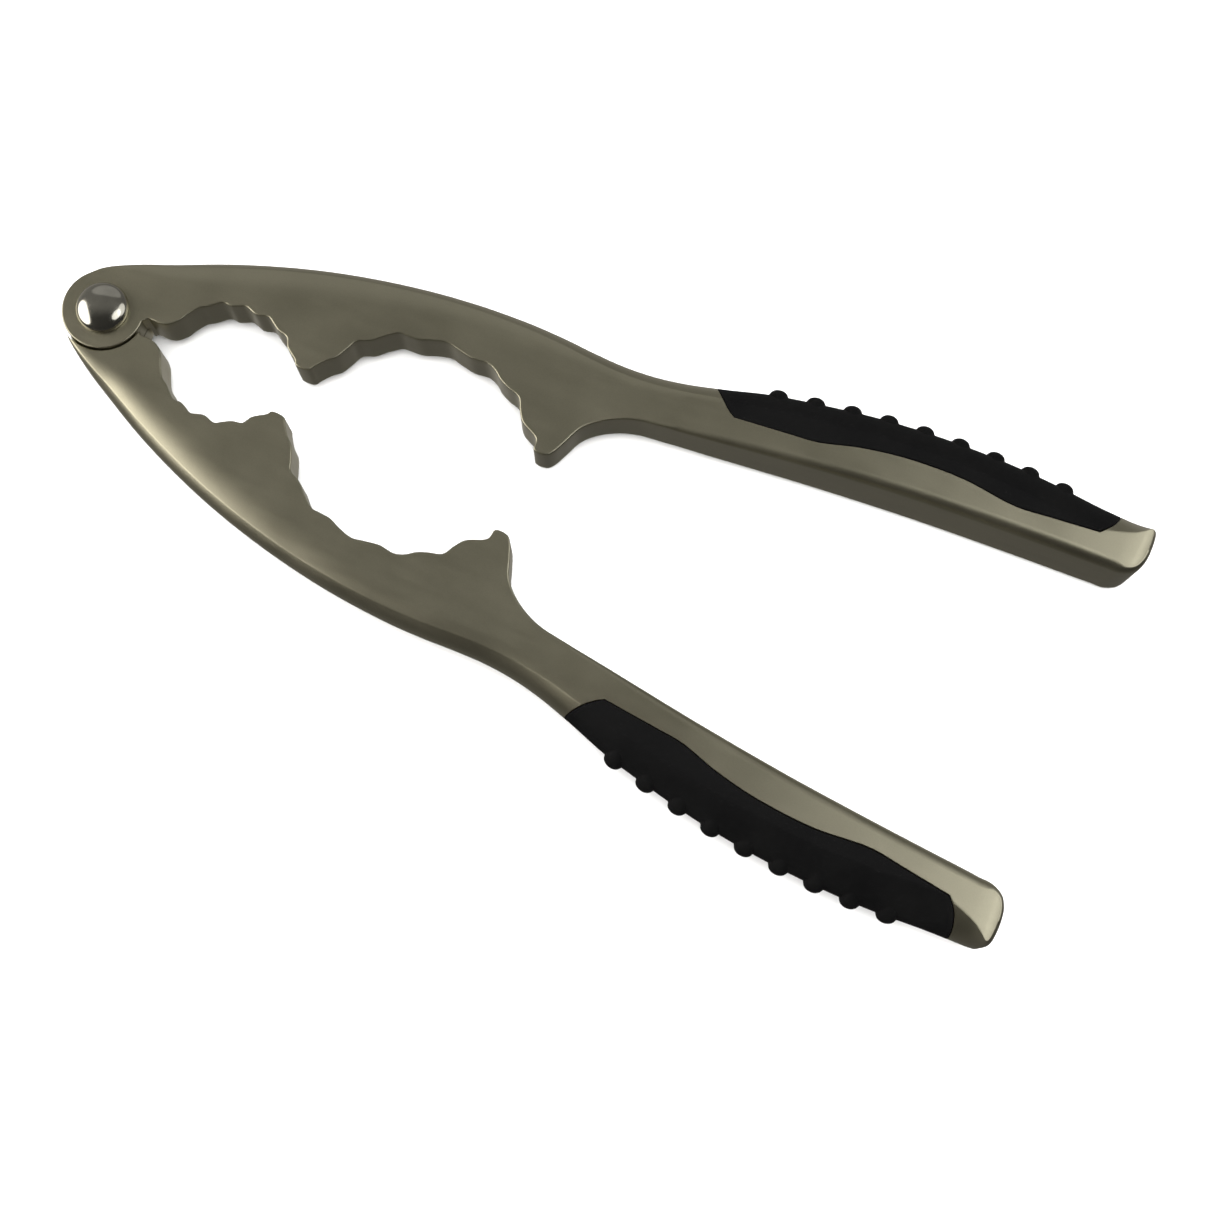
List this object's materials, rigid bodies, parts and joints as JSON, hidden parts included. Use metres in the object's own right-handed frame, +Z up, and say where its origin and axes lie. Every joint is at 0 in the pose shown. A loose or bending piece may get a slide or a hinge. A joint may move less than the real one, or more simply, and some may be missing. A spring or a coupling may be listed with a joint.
{
  "type": "nutcracker",
  "caption": "Hand nutcracker with two hinged die-cast levers, serrated hollows for small and large nuts, and rubber grips with knobs let into the handles.",
  "frame": {"origin": "centre of the flat foot of the rivet's lower head, on the pivot axis and on the surface that the nutcracker rests on", "axes": "+Z up along the pivot axis; +X from the pivot towards the handles, along the line that halves the angle between them; +Y towards the upper lever's side"},
  "size_m": [0.1876, 0.082, 0.014],
  "materials": {
    "cast_metal": "satin gunmetal nickel plate on die-cast zinc alloy",
    "grip_rubber": "matt black thermoplastic rubber",
    "rivet_metal": "polished nickel"
  },
  "bodies": {
    "lower_half": {"lower_lever": "cast_metal", "lower_grip": "grip_rubber", "pivot_rivet": "rivet_metal", "rivet_lower_head": "rivet_metal"},
    "upper_half": {"upper_lever": "cast_metal", "upper_grip": "grip_rubber"}
  },
  "joints": [
    {"name": "jaw_hinge", "type": "hinge", "parent": "lower_half", "child": "upper_half", "pos_m": [0, 0, 0.007], "axis": [0, 0, 1], "range_deg": [-10.3, 115]}
  ]
}
